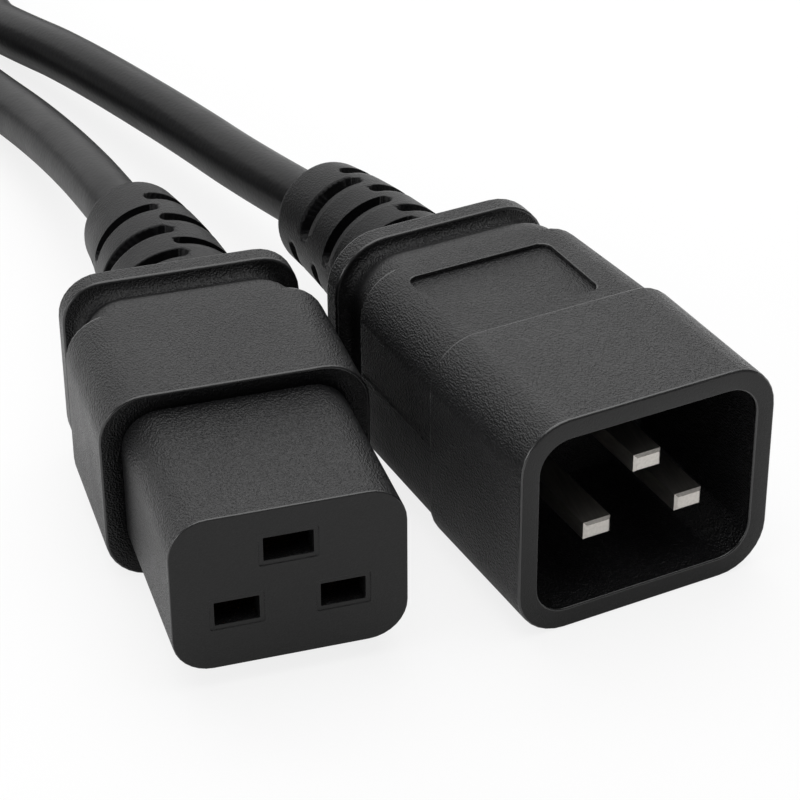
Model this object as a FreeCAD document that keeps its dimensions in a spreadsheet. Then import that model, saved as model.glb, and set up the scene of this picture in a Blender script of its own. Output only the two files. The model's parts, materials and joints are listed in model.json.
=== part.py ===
# Mains cord set: a C19 connector with three horizontal slots, its cord and, on the far end,
# the C20 plug that mates with it.  Every piece is a separate sub-part.
#
# Each end is drawn in a frame of its own: the front face at y = 0, the cord leaving towards +Y,
# x across, z up from the surface that it lies on.  Its Placement then lays it where it lies.
import FreeCAD, Part
import Sketcher
import math
import os
import re
from FreeCAD import Placement, Rotation, Vector

doc = FreeCAD.newDocument("cord_set")
sheet = doc.addObject("Spreadsheet::Sheet", "Sizes")

SIZES = {
    # where the two ends lie: the connector's footprint is centred on the origin
    "front_y": -45.3, "plug_x": 45.2, "plug_front_y": -44.6, "plug_turn": 10.6,
    # contact pattern, the same on both ends
    "pitch": 13.0, "earth_rise": 8.0,
    # connector nose and its slots
    "nose_width": 29.0, "nose_height": 21.4, "nose_length": 24.8, "nose_corner": 4.9, "nose_mid": 13.45,
    "slot_drop": 2.9, "slot_width": 5.5, "slot_height": 3.2, "earth_width": 6.1, "lip_depth": 3.0,
    "bezel": 0.6, "bezel_depth": 0.12, "chamber_width": 7.4, "chamber_height": 5.4,
    "tail_width": 25.0, "tail_height": 17.4, "tail_corner": 3.0, "tail_end": 36.0, "edge_round": 0.5,
    # connector overmould
    "shoulder_width": 34.5, "shoulder_height": 26.4, "shoulder_corner": 6.0, "shoulder_end": 45.3,
    "shoulder_mid": 13.2, "flange_width": 32.0, "flange_height": 26.4, "flange_corner": 5.6,
    "flange_start": 53.6, "flange_end": 56.6, "flange_round": 0.45, "grip_round": 1.5,
    "grip_width": 28.8, "grip_height": 26.3, "neck_width": 27.0, "neck_height": 22.2, "grip_corner": 5.0,
    "mould_width": 22.0, "mould_height": 15.0, "mould_corner": 2.5, "mould_end": 50.0,
    "boot_x": 1.8, "boot_mid": 13.5, "boot_rise": 2.0, "boot_length": 34.0,
    "boot_base": 11.0, "boot_tip": 7.3,
    # plug shroud, pin bridge and overmould
    "shroud_width": 35.7, "shroud_height": 30.2, "shroud_corner": 6.5, "shroud_end": 22.9,
    "shroud_mid": 15.1, "cavity_width": 30.8, "cavity_height": 24.8, "cavity_corner": 4.2,
    "cavity_depth": 25.3, "mouth_bevel": 0.5, "socket_width": 32.6, "socket_height": 26.6,
    "socket_corner": 5.0, "socket_end": 28.5, "bridge_width": 25.0, "bridge_height": 18.0,
    "bridge_corner": 3.0, "bridge_end": 34.0,
    "housing_width": 34.9, "housing_height": 28.6, "housing_corner": 6.3, "housing_end": 43.1,
    "housing_mid": 14.9, "housing_rear": 33.5, "housing_lean": -0.4,
    "rim_width": 31.8, "rim_height": 28.0, "rim_corner": 7.4, "rim_start": 51.5, "rim_end": 54.5,
    "plug_grip_width": 30.0, "plug_grip_height": 28.3, "plug_neck_width": 28.0, "plug_neck_height": 24.6,
    "plug_grip_corner": 6.0, "plug_grip_round": 1.1,
    "core_block_width": 23.0, "core_block_height": 17.0, "core_block_end": 53.5,
    "plug_boot_x": -0.5, "plug_boot_mid": 14.95, "plug_boot_length": 32.5,
    "plug_boot_base": 10.5, "plug_boot_tip": 7.8,
    "plate_x": -1.6, "plate_width": 20.6, "plate_start": 26.3, "plate_length": 13.9,
    "plate_corner": 1.4, "plate_depth": 0.6,
    # pins
    "pin_drop": 2.4, "pin_width": 3.8, "pin_height": 2.4, "pin_tip": 0.8, "earth_tip": 0.4,
    "pin_end": 34.5, "pin_bevel": 0.35,
    # strain relief slots
    "slot_pitch": 8.1, "slot_gap": 2.3, "first_row": 10.2, "slot_floor": 5.3,
    "upper_angle": 46.0, "upper_half": 43.0, "side_angle": 126.0, "side_half": 43.0,
    # contacts, cores and cord
    "sheet_thick": 0.5, "sleeve_width": 6.4, "sleeve_height": 4.4, "sleeve_start": 7.5,
    "sleeve_end": 19.5, "crimp_start": 22.5, "crimp_length": 4.0, "clasp_start": 28.0, "clasp_length": 3.0,
    "strand_radius": 0.8, "core_radius": 1.35, "cord_radius": 4.3,
}
for row, (alias, number) in enumerate(SIZES.items(), start=1):
    sheet.set(f"A{row}", alias)
    sheet.set(f"B{row}", str(number))
    sheet.setAlias(f"B{row}", alias)
doc.recompute()


def size(alias):
    """A driving dimension, read from the sheet."""
    return float(sheet.get(alias))


def value(expression):
    """The number that an expression on the sheet gives."""
    found = sheet.evalExpression(expression)
    return float(getattr(found, "Value", found))


def of_sheet(text):
    """The same expression with each alias written as the sheet's."""
    return re.sub(r"[a-z_]+", lambda word: f"Sizes.{word[0]}" if word[0] in SIZES else word[0], text)


def bind(thing, path, text):
    """Binds a property or a sketch constraint to an expression in the sheet's words."""
    thing.setExpression(path, of_sheet(text))


# ---- sketches -------------------------------------------------------------------------------
def new_body(name):
    body = doc.addObject("PartDesign::Body", name)
    body.Label = name
    return body


def section(body, name, y="0"):
    """A sketch across the piece, at y from its front: sketch x is x, sketch y is z."""
    made = body.newObject("Sketcher::SketchObject", name)
    plane = [f for f in body.Origin.OriginFeatures if f.Role == "XZ_Plane"][0]
    made.AttachmentSupport = [(plane, "")]
    made.MapMode = "FlatFace"
    bind(made, "AttachmentOffset.Base.z", f"-({y})")
    return made


def plan(body, name, z):
    """A sketch seen from above, at height z: sketch x is x, sketch y is y."""
    made = body.newObject("Sketcher::SketchObject", name)
    plane = [f for f in body.Origin.OriginFeatures if f.Role == "XY_Plane"][0]
    made.AttachmentSupport = [(plane, "")]
    made.MapMode = "FlatFace"
    bind(made, "AttachmentOffset.Base.z", z)
    return made


def along(body, name, x="0", y="0", z="0", tilt="0", turn=0.0, out="0"):
    """A sketch whose x axis runs back along the piece from (x, y, z), raised by tilt and then
    rolled by turn about that axis; out lifts it off the axis."""
    made = body.newObject("Sketcher::SketchObject", name)
    plane = [f for f in body.Origin.OriginFeatures if f.Role == "YZ_Plane"][0]
    made.AttachmentSupport = [(plane, "")]
    made.MapMode = "FlatFace"
    roll = Rotation(Vector(0, 0, 1), value(of_sheet(tilt))) * Rotation(Vector(1, 0, 0), turn)
    lift = roll.multVec(Vector(0, 0, value(of_sheet(out))))
    made.AttachmentOffset = Placement(lift, roll)
    bind(made, "AttachmentOffset.Base.x", f"{y} + {lift.x:.6f}")
    bind(made, "AttachmentOffset.Base.y", f"{z} + {lift.y:.6f}")
    bind(made, "AttachmentOffset.Base.z", f"{x} + {lift.z:.6f}")
    return made


def place(made, kind, line, point, text):
    """Sets how far a point of a sketch lies from its origin, bound to the sheet."""
    number = made.addConstraint(Sketcher.Constraint(kind, -1, 1, line, point, value(of_sheet(text))))
    bind(made, f"Constraints[{number}]", text)


def outline(made, corners):
    """A closed outline of straight lines through corners, each a pair of expressions."""
    points = [Vector(value(of_sheet(u)), value(of_sheet(v)), 0) for u, v in corners]
    first = made.GeometryCount
    count = len(points)
    for k in range(count):
        made.addGeometry(Part.LineSegment(points[k], points[(k + 1) % count]), False)
    for k in range(count):
        made.addConstraint(Sketcher.Constraint("Coincident", first + k, 2, first + (k + 1) % count, 1))
    for k, (u, v) in enumerate(corners):
        place(made, "DistanceX", first + k, 1, u)
        place(made, "DistanceY", first + k, 1, v)


def oblong(made, width, height, x="0", z="0"):
    """A plain rectangle about (x, z)."""
    left, right = f"{x} - {width} / 2", f"{x} + {width} / 2"
    low, high = f"{z} - {height} / 2", f"{z} + {height} / 2"
    outline(made, [(left, low), (right, low), (right, high), (left, high)])


def rounded(made, width, height, radius, z, x="0"):
    """A rectangle with rounded corners about (x, z)."""
    w, h, r, cx, cz = (value(of_sheet(t)) for t in (width, height, radius, x, z))
    a, b = w / 2 - r, h / 2 - r
    first = made.GeometryCount
    for k, (i, j) in enumerate(((1, -1), (1, 1), (-1, 1), (-1, -1))):
        turn = math.radians(90 * k - 90)
        ahead = Vector(math.cos(turn), math.sin(turn), 0)
        left = Vector(-ahead.y, ahead.x, 0)
        centre = Vector(cx + i * a, cz + j * b, 0)
        start = centre + ahead * r
        half = a if k % 2 == 0 else b
        made.addGeometry(Part.LineSegment(start - left * 2 * half, start), False)
        circle = Part.Circle(centre, Vector(0, 0, 1), r)
        made.addGeometry(Part.ArcOfCircle(circle, turn, turn + math.pi / 2), False)
    for k in range(8):
        made.addConstraint(Sketcher.Constraint("Tangent", first + k, 2, first + (k + 1) % 8, 1))
    for k in (0, 4):
        made.addConstraint(Sketcher.Constraint("Horizontal", first + k))
    for k in (2, 6):
        made.addConstraint(Sketcher.Constraint("Vertical", first + k))
    for k in (3, 5, 7):
        made.addConstraint(Sketcher.Constraint("Equal", first + 1, first + k))
    number = made.addConstraint(Sketcher.Constraint("Radius", first + 1, r))
    bind(made, f"Constraints[{number}]", radius)
    place(made, "DistanceX", first + 2, 1, f"{x} + {width} / 2")
    place(made, "DistanceX", first + 6, 1, f"{x} - {width} / 2")
    place(made, "DistanceY", first, 1, f"{z} - {height} / 2")
    place(made, "DistanceY", first + 4, 1, f"{z} + {height} / 2")


def ring(made, radius, x="0", z="0"):
    """A circle about (x, z)."""
    centre = Vector(value(of_sheet(x)), value(of_sheet(z)), 0)
    line = made.addGeometry(Part.Circle(centre, Vector(0, 0, 1), value(of_sheet(radius))), False)
    number = made.addConstraint(Sketcher.Constraint("Radius", line, value(of_sheet(radius))))
    bind(made, f"Constraints[{number}]", radius)
    place(made, "DistanceX", line, 3, x)
    place(made, "DistanceY", line, 3, z)


# ---- features -------------------------------------------------------------------------------
def pad(body, name, made, length):
    """Material from a section towards the cord."""
    feature = body.newObject("PartDesign::Pad", name)
    feature.Profile = made
    bind(feature, "Length", length)
    feature.Reversed = True
    doc.recompute()
    return feature


def pocket(body, name, made, depth):
    """A hollow from a section towards the cord; the volume shows that it cut."""
    before = body.Shape.Volume
    feature = body.newObject("PartDesign::Pocket", name)
    feature.Profile = made
    bind(feature, "Length", depth)
    doc.recompute()
    if not body.Shape.Volume < before - 0.01:
        raise RuntimeError(f"{name} cuts nothing")
    return feature


def edges(feature, test):
    """Names of the edges of a feature whose middle and box pass a test."""
    return [f"Edge{k}" for k, e in enumerate(feature.Shape.Edges, start=1) if test(e.BoundBox)]


def dress(body, kind, name, feature, test, amount):
    """A fillet or chamfer on the edges that pass the test."""
    made = body.newObject(f"PartDesign::{kind}", name)
    made.Base = (feature, edges(feature, test))
    bind(made, "Radius" if kind == "Fillet" else "Size", amount)
    doc.recompute()
    return made


def flat_at(y):
    """Test for edges that lie in the plane at y."""
    return lambda box: abs(box.YMin - y) < 0.01 and abs(box.YMax - y) < 0.01


# How far the finger grip has narrowed from its front to its neck, by its share of the way back.
NARROWING = ((0, 0), (0.2, 0.08), (0.5, 0.52), (0.8, 1), (1, 1))


def waist(body, start, end, mid, prefix="", x="0"):
    """The finger grip: a smooth loft from the front size to the neck and on into the flange."""
    sections = []
    for k, (share, drop) in enumerate(NARROWING):
        made = section(body, f"grip_{k}", f"{start} + ({end} - {start}) * {share}")
        width, height = (f"({prefix}grip_{way} + ({prefix}neck_{way} - {prefix}grip_{way}) * {drop})"
                         for way in ("width", "height"))
        rounded(made, width, height, f"{prefix}grip_corner", mid, x)
        sections.append(made)
    loft = body.newObject("PartDesign::AdditiveLoft", "grip")
    loft.Profile = sections[0]
    loft.Sections = sections[1:]
    doc.recompute()
    neck = value(of_sheet(f"{prefix}neck_width / 2 + 0.6"))
    narrow = lambda box: flat_at(value(of_sheet(end)))(box) and max(abs(box.XMin), abs(box.XMax)) < neck
    return dress(body, "Fillet", "grip_root", loft, narrow, f"{prefix}grip_round")


def boot(body, side):
    """The tapered strain relief: a turned sleeve with staggered pairs of slots round it."""
    at = dict(x=side["boot_x"], y=side["boot_y"], z=side["boot_mid"], tilt=side["rise"])
    length, base, tip = side["boot_length"], side["boot_base"], side["boot_tip"]
    profile = along(body, "boot_profile", **at)
    outline(profile, [("-0.5", "0"), (f"{length}", "0"), (f"{length}", f"{tip} - 0.9"),
                      (f"{length} - 1.2", f"{tip}"), (f"{length} - 4.5", f"{tip} + 0.35"),
                      ("0", base), ("-0.5", base)])
    turned = body.newObject("PartDesign::Revolution", "boot")
    turned.Profile = profile
    turned.ReferenceAxis = (profile, ["H_Axis"])
    turned.Angle = 360
    doc.recompute()
    for name, angle, half, first, rows in (
            ("upper", "upper_angle", "upper_half", "first_row", 3),
            ("side", "side_angle", "side_half", "first_row - slot_pitch / 2", 3)):
        slots(body, name, at, angle, half, first, rows)
    bore = along(body, "cord_bore", **at)
    outline(bore, [(side["bore_from"], "0"), (f"{length} + 1", "0"),
                   (f"{length} + 1", "cord_radius"), (side["bore_from"], "cord_radius")])
    groove(body, "cord_hole", bore, 360)


def groove(body, name, made, angle):
    before = body.Shape.Volume
    cut = body.newObject("PartDesign::Groove", name)
    cut.Profile = made
    cut.ReferenceAxis = (made, ["H_Axis"])
    if isinstance(angle, str):
        cut.Midplane = True
        bind(cut, "Angle", angle)
    else:
        cut.Angle = angle
    doc.recompute()
    if not body.Shape.Volume < before - 0.01:
        raise RuntimeError(f"{name} cuts nothing")
    return cut


def slots(body, name, at, angle, half, first, rows):
    """One family of slots: an arc with round ends, its twin opposite, repeated along the boot."""
    middle = 90 - value(of_sheet(angle))
    blank = along(body, f"{name}_slot", turn=middle, **at)
    near, far = f"{first} - slot_gap / 2", f"{first} + slot_gap / 2"
    outline(blank, [(near, "slot_floor"), (far, "slot_floor"), (far, "boot_base + 1"),
                    (near, "boot_base + 1")])
    cuts = [groove(body, f"{name}_arc", blank, f"2 * ({half} - 6)")]
    for mark, sign in (("a", 1), ("b", -1)):
        end = middle + sign * (value(of_sheet(half)) - 6)
        disc = along(body, f"{name}_end_{mark}", turn=end - 90, out="boot_base + 1", **at)
        ring(disc, "slot_gap / 2", first, "0")
        cuts.append(pocket(body, f"{name}_round_{mark}", disc, "boot_base + 1 - slot_floor"))
    many = body.newObject("PartDesign::MultiTransform", f"{name}_rows")
    many.Originals = cuts
    rowed = body.newObject("PartDesign::LinearPattern", f"{name}_row")
    rowed.Direction = (blank, ["H_Axis"])
    bind(rowed, "Length", f"{rows - 1} * slot_pitch")
    rowed.Occurrences = rows
    twin = body.newObject("PartDesign::PolarPattern", f"{name}_twin")
    twin.Axis = (blank, ["H_Axis"])
    twin.Angle = 360
    twin.Occurrences = 2
    many.Transformations = [rowed, twin]
    body.Tip = many
    doc.recompute()


CONNECTOR = {
    "place": ("0", "front_y", "0"),
    "boot_x": "boot_x", "boot_y": "flange_end", "boot_mid": "boot_mid", "rise": "boot_rise",
    "boot_length": "boot_length", "boot_base": "boot_base", "boot_tip": "boot_tip",
    "bore_from": "mould_end - flange_end - 0.5",
}
PLUG = {
    "place": ("plug_x", "plug_front_y", "plug_turn"),
    "boot_x": "plug_boot_x", "boot_y": "rim_end", "boot_mid": "plug_boot_mid", "rise": "0",
    "boot_length": "plug_boot_length", "boot_base": "plug_boot_base", "boot_tip": "plug_boot_tip",
    "bore_from": "core_block_end - rim_end - 0.5",
}


# ---- connector ------------------------------------------------------------------------------
def poles(mid, drop):
    """Name, x and z of the three poles, as expressions, about the middle height of a face."""
    low = f"{mid} - {drop}"
    return (("live", "-pitch / 2", low), ("neutral", "pitch / 2", low),
            ("earth", "0", f"{low} + earth_rise"))


def contact_carrier():
    """The nose: a hard insert with a slot and a contact chamber for each pole."""
    body = new_body("contact_carrier")
    face = section(body, "nose_face")
    rounded(face, "nose_width", "nose_height", "nose_corner", "nose_mid")
    nose = pad(body, "nose", face, "nose_length")
    dress(body, "Fillet", "nose_edge", nose, flat_at(0), "edge_round")
    tail = section(body, "tail_face", "nose_length")
    rounded(tail, "tail_width", "tail_height", "tail_corner", "nose_mid")
    pad(body, "tail", tail, "tail_end - nose_length")
    for name, x, z in poles("nose_mid", "slot_drop"):
        width = "earth_width" if name == "earth" else "slot_width"
        frame = section(body, f"{name}_frame")
        oblong(frame, f"({width} + 2 * bezel)", "(slot_height + 2 * bezel)", x, z)
        pocket(body, f"{name}_bezel", frame, "bezel_depth")
        mouth = section(body, f"{name}_mouth")
        oblong(mouth, width, "slot_height", x, z)
        pocket(body, f"{name}_slot", mouth, "lip_depth + 0.5")
        chamber = section(body, f"{name}_room", "lip_depth")
        oblong(chamber, "chamber_width", "chamber_height", x, z)
        pocket(body, f"{name}_chamber", chamber, "tail_end - lip_depth + 1")
    return body


def connector_body():
    """The soft overmould: shoulder, finger grip, flange and strain relief in one."""
    body = new_body("connector_body")
    rim = section(body, "flange_face", "flange_start")
    rounded(rim, "flange_width", "flange_height", "flange_corner", "shoulder_mid")
    flange = pad(body, "flange", rim, "flange_end - flange_start")
    dress(body, "Fillet", "flange_edges", flange,
          lambda box: flat_at(size("flange_start"))(box) or flat_at(size("flange_end"))(box),
          "flange_round")
    waist(body, "shoulder_end", "flange_start", "shoulder_mid")
    face = section(body, "shoulder_face", "nose_length")
    rounded(face, "shoulder_width", "shoulder_height", "shoulder_corner", "shoulder_mid")
    shoulder = pad(body, "shoulder", face, "shoulder_end - nose_length")
    dress(body, "Fillet", "shoulder_edge", shoulder, flat_at(size("nose_length")), "edge_round")
    boot(body, CONNECTOR)
    seat = section(body, "carrier_seat", "nose_length")
    rounded(seat, "tail_width", "tail_height", "tail_corner", "nose_mid")
    pocket(body, "carrier_socket", seat, "tail_end - nose_length")
    room = section(body, "mould_seat", "tail_end")
    rounded(room, "mould_width", "mould_height", "mould_corner", "shoulder_mid")
    pocket(body, "mould_socket", room, "mould_end - tail_end")
    return body


def crimps(body, name, x, z, start, root):
    """The two crimps of a pole, open along the top: one on the bare strands and one on the
    insulation, with the strip below them that starts at root."""
    clasp = f"({start} + clasp_start - crimp_start)"
    strand_low, core_low = "-(strand_radius + 0.1)", "-(core_radius + 0.1)"
    strip = along(body, f"{name}_strip_side", x=x, z=z)
    outline(strip, [
        (root, f"{strand_low} - sheet_thick"), (f"{start} + crimp_length", f"{strand_low} - sheet_thick"),
        (clasp, f"{core_low} - sheet_thick"), (f"{clasp} + clasp_length", f"{core_low} - sheet_thick"),
        (f"{clasp} + clasp_length", core_low), (clasp, core_low),
        (f"{start} + crimp_length", strand_low), (root, strand_low)])
    spine = body.newObject("PartDesign::Pad", f"{name}_strip")
    spine.Profile = strip
    spine.Length = 1.5
    spine.Midplane = True
    doc.recompute()
    for mark, inner, front, length in (("strand", "strand_radius", start, "crimp_length"),
                                       ("clasp", "core_radius", clasp, "clasp_length")):
        tube = section(body, f"{name}_{mark}_face", front)
        ring(tube, f"{inner} + sheet_thick", x, z)
        ring(tube, inner, x, z)
        pad(body, f"{name}_{mark}_crimp", tube, length)
        seam = section(body, f"{name}_{mark}_seam", front)
        oblong(seam, "0.5", "1.6", x, f"{z} + {inner} + 0.4")
        pocket(body, f"{name}_{mark}_gap", seam, length)


def contact(name, x, z):
    """One female contact: a folded brass sleeve with two spring leaves and crimps behind it."""
    body = new_body(f"{name}_contact")
    fold = section(body, "fold", "sleeve_start")
    half, high, thick = "sleeve_width / 2", "sleeve_height / 2", "sheet_thick"
    outline(fold, [
        (f"{x} - 0.4", f"{z} + {high}"), (f"{x} - {half}", f"{z} + {high}"),
        (f"{x} - {half}", f"{z} - {high}"), (f"{x} + {half}", f"{z} - {high}"),
        (f"{x} + {half}", f"{z} + {high}"), (f"{x} + 0.4", f"{z} + {high}"),
        (f"{x} + 0.4", f"{z} + {high} - {thick}"), (f"{x} + {half} - {thick}", f"{z} + {high} - {thick}"),
        (f"{x} + {half} - {thick}", f"{z} - {high} + {thick}"),
        (f"{x} - {half} + {thick}", f"{z} - {high} + {thick}"),
        (f"{x} - {half} + {thick}", f"{z} + {high} - {thick}"), (f"{x} - 0.4", f"{z} + {high} - {thick}")])
    pad(body, "sleeve", fold, "sleeve_end - sleeve_start")
    neck = section(body, "neck_face", "sleeve_end - 2")
    oblong(neck, "3.0", "(sleeve_height / 2 - strand_radius - 0.1)", x,
           f"{z} - (sleeve_height / 2 + strand_radius + 0.1) / 2")
    pad(body, "neck", neck, "2.6")
    for mark, sign, spots, wide in (("lower", -1, (0,), 3.6), ("upper", 1, (-1.6, 1.6), 1.6)):
        wall, inside = f"{sign} * (sleeve_height / 2 - 0.3)", f"{sign} * (sleeve_height / 2 - sheet_thick - 0.05)"
        touch, outer = f"{sign} * (pin_height / 2)", f"{sign} * (pin_height / 2 + 0.4)"
        for k, shift in enumerate(spots):
            leaf = along(body, f"{mark}_side_{k}", x=f"{x} + {shift}", z=z, y="sleeve_start")
            outline(leaf, [("1", wall), ("1", inside), ("4.4", touch), ("6", touch), ("9.4", inside),
                           ("9.4", wall), ("8.6", wall), ("6.2", outer), ("4.2", outer), ("1.8", wall)])
            spring = body.newObject("PartDesign::Pad", f"{mark}_leaf_{k}")
            spring.Profile = leaf
            spring.Length = wide
            spring.Midplane = True
            doc.recompute()
    crimps(body, name, x, z, "crimp_start", "sleeve_end - 1")
    return body


# ---- plug -----------------------------------------------------------------------------------
def plug_shroud():
    """The hood round the pins, with its floor and the part of it that the overmould grips."""
    body = new_body("plug_shroud")
    face = section(body, "hood_face")
    rounded(face, "shroud_width", "shroud_height", "shroud_corner", "shroud_mid")
    hood = pad(body, "hood", face, "shroud_end")
    dress(body, "Fillet", "hood_edge", hood, flat_at(0), "edge_round")
    back = section(body, "socket_face", "shroud_end")
    rounded(back, "socket_width", "socket_height", "socket_corner", "shroud_mid")
    pad(body, "socket", back, "socket_end - shroud_end")
    mouth = section(body, "mouth")
    rounded(mouth, "cavity_width", "cavity_height", "cavity_corner", "shroud_mid")
    cavity = pocket(body, "cavity", mouth, "cavity_depth")
    inside = value(of_sheet("cavity_width / 2 + 0.01"))
    dress(body, "Chamfer", "mouth_edge", cavity,
          lambda box: flat_at(0)(box) and max(abs(box.XMin), abs(box.XMax)) < inside
          and abs(box.ZMax - size("shroud_mid")) < size("cavity_height") / 2 + 0.01
          and abs(box.ZMin - size("shroud_mid")) < size("cavity_height") / 2 + 0.01,
          "mouth_bevel")
    for name, x, z in poles("shroud_mid", "pin_drop"):
        hole = section(body, f"{name}_way", "cavity_depth")
        oblong(hole, "pin_width", "pin_height", x, z)
        pocket(body, f"{name}_hole", hole, "socket_end - cavity_depth")
    return body


def pin_bridge():
    """The block behind the shroud's floor that holds the pins at their pitch."""
    body = new_body("pin_bridge")
    face = section(body, "bridge_face", "socket_end")
    rounded(face, "bridge_width", "bridge_height", "bridge_corner", "shroud_mid")
    pad(body, "block", face, "bridge_end - socket_end")
    for name, x, z in poles("shroud_mid", "pin_drop"):
        hole = section(body, f"{name}_way", "socket_end")
        oblong(hole, "pin_width", "pin_height", x, z)
        pocket(body, f"{name}_hole", hole, "bridge_end - socket_end")
    return body


def plug_body():
    """The plug's overmould: housing with a sunk plate, finger grip, rim and strain relief."""
    body = new_body("plug_body")
    rim = section(body, "rim_face", "rim_start")
    rounded(rim, "rim_width", "rim_height", "rim_corner", "housing_mid", "plug_boot_x")
    collar = pad(body, "rim", rim, "rim_end - rim_start")
    dress(body, "Fillet", "rim_edges", collar,
          lambda box: flat_at(size("rim_start"))(box) or flat_at(size("rim_end"))(box), "flange_round")
    waist(body, "housing_end", "rim_start", "housing_mid", "plug_", "plug_boot_x")
    face = section(body, "housing_face", "shroud_end")
    rounded(face, "housing_width", "housing_height", "housing_corner", "housing_mid")
    rear = section(body, "housing_back", "housing_end")
    rounded(rear, "housing_rear", "housing_height", "housing_corner", "housing_mid", "housing_lean")
    housing = body.newObject("PartDesign::AdditiveLoft", "housing")
    housing.Profile = face
    housing.Sections = [rear]
    housing.Ruled = True
    doc.recompute()
    boot(body, PLUG)
    plate = plan(body, "plate_outline", "housing_mid + housing_height / 2")
    rounded(plate, "plate_width", "plate_length", "plate_corner", "plate_start + plate_length / 2", "plate_x")
    pocket(body, "plate_recess", plate, "plate_depth")
    seat = section(body, "shroud_seat", "shroud_end")
    rounded(seat, "socket_width", "socket_height", "socket_corner", "shroud_mid")
    pocket(body, "shroud_socket", seat, "socket_end - shroud_end")
    bridge = section(body, "bridge_seat", "socket_end")
    rounded(bridge, "bridge_width", "bridge_height", "bridge_corner", "shroud_mid")
    pocket(body, "bridge_socket", bridge, "bridge_end - socket_end")
    room = section(body, "block_seat", "bridge_end")
    rounded(room, "core_block_width", "core_block_height", "bridge_corner", "housing_mid")
    pocket(body, "block_socket", room, "core_block_end - bridge_end")
    return body


def pin(name, x, z):
    """One flat pin with bevelled tip edges, and its crimps behind the bridge."""
    body = new_body(f"{name}_pin")
    tip = "earth_tip" if name == "earth" else "pin_tip"
    face = section(body, "blade_face", tip)
    oblong(face, "pin_width", "pin_height", x, z)
    blade = pad(body, "blade", face, f"pin_end - {tip}")
    dress(body, "Chamfer", "tip_bevel", blade, flat_at(size(tip)), "pin_bevel")
    crimps(body, name, x, z, "(pin_end + 0.4)", "pin_end - 0.4")
    return body


# ---- cores, inner moulds and cord -------------------------------------------------------------
def swept(points, radius, most=1000.0):
    """A round rod along straight runs joined by tangent arcs, each as large as its runs allow
    but starting no further than most from its corner, and the arcs' radii."""
    edges_made, radii = [], []
    start = points[0]
    for before, corner, after in zip(points, points[1:], points[2:]):
        back, ahead = before - corner, after - corner
        cut = min(0.45 * min(back.Length, ahead.Length), most)
        back.normalize()
        ahead.normalize()
        half_turn = (math.pi - back.getAngle(ahead)) / 2
        bend = cut / math.tan(half_turn)
        radii.append(bend)
        enter, leave = corner + back * cut, corner + ahead * cut
        inward = back + ahead
        inward.normalize()
        middle = corner + inward * (bend / math.cos(half_turn) - bend)
        edges_made += [Part.LineSegment(start, enter).toShape(), Part.Arc(enter, middle, leave).toShape()]
        start = leave
    edges_made.append(Part.LineSegment(start, points[-1]).toShape())
    path = Part.Wire(edges_made)
    disc = Part.Wire(Part.makeCircle(radius, points[0], points[1] - points[0]))
    rod = path.makePipeShell([disc], True, False)
    expected = math.pi * radius ** 2 * path.Length
    if abs(rod.Volume - expected) > 0.01 * expected:
        raise RuntimeError(f"rod volume {rod.Volume:.1f}, expected {expected:.1f}")
    return rod, radii, path.Length


def boot_point(side, reach, across=(0.0, 0.0)):
    """A point on the strain relief's axis, reach behind its base and across it."""
    rise = math.radians(value(side["rise"]))
    base = Vector(*(size(side[k]) for k in ("boot_x", "boot_y", "boot_mid")))
    lift = Vector(0, -math.sin(rise), math.cos(rise)) * across[1]
    return base + Vector(across[0], 0, 0) + Vector(0, math.cos(rise), math.sin(rise)) * reach + lift


def ground(side):
    """Where an end of the cord lies."""
    x, y, turn = (value(of_sheet(text)) for text in side["place"])
    return Placement(Vector(x, y, 0), Rotation(Vector(0, 0, 1), turn))


def lay(thing, side):
    """Gives a sub-part the place of its end of the cord, bound to the sheet."""
    x, y, turn = side["place"]
    thing.Placement = Placement(Vector(0, 0, 0), Rotation(Vector(0, 0, 1), 0.001))
    bind(thing, "Placement.Base.x", x)
    bind(thing, "Placement.Base.y", y)
    bind(thing, "Placement.Rotation.Angle", turn)
    return thing


def cores(end, side, spots, crimp, straight, block_end):
    """The three insulated cores and their bare strands, from the crimps to the boot's mouth."""
    made = []
    spread = 1.25 * size("core_radius")
    spokes = {"live": 210, "neutral": 330, "earth": 90}
    depth = block_end - size(side["boot_y"])
    for name, x, z in spots:
        angle = math.radians(spokes[name])
        across = (spread * math.cos(angle), spread * math.sin(angle))
        x, z = value(of_sheet(x)), value(of_sheet(z))
        tail = [Vector(x, straight, z), boot_point(side, depth - 1.5, across),
                boot_point(side, size(side["boot_length"]), across)]
        clasp = crimp + size("clasp_start") - size("crimp_start")
        insulation = swept([Vector(x, clasp, z)] + tail, size("core_radius"), 1.2)[0]
        strands = swept([Vector(x, crimp, z)] + tail, size("strand_radius"), 1.2)[0]
        for label, shape in ((f"{end}_{name}_core", insulation.cut(strands)), (f"{end}_{name}_strands", strands)):
            thing = doc.addObject("Part::Feature", label)
            thing.Label = label
            thing.Shape = shape
            made.append(lay(thing, side))
    return made


def joined(name, things):
    """A tool made of several things."""
    tool = doc.addObject("Part::MultiFuse", name)
    tool.Shapes = things
    return tool


def cut_from(name, base, tool):
    made = doc.addObject("Part::Cut", name)
    made.Label = name
    made.Base = base
    made.Tool = tool
    return made


def inner_mould(name, width, height, corner, mid, start, end):
    """The first shot of plastic, which holds the cores where they fan out."""
    body = new_body(f"{name}_blank")
    face = section(body, "block_face", start)
    rounded(face, width, height, corner, mid)
    pad(body, "block", face, f"{end} - ({start})")
    return body


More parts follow.
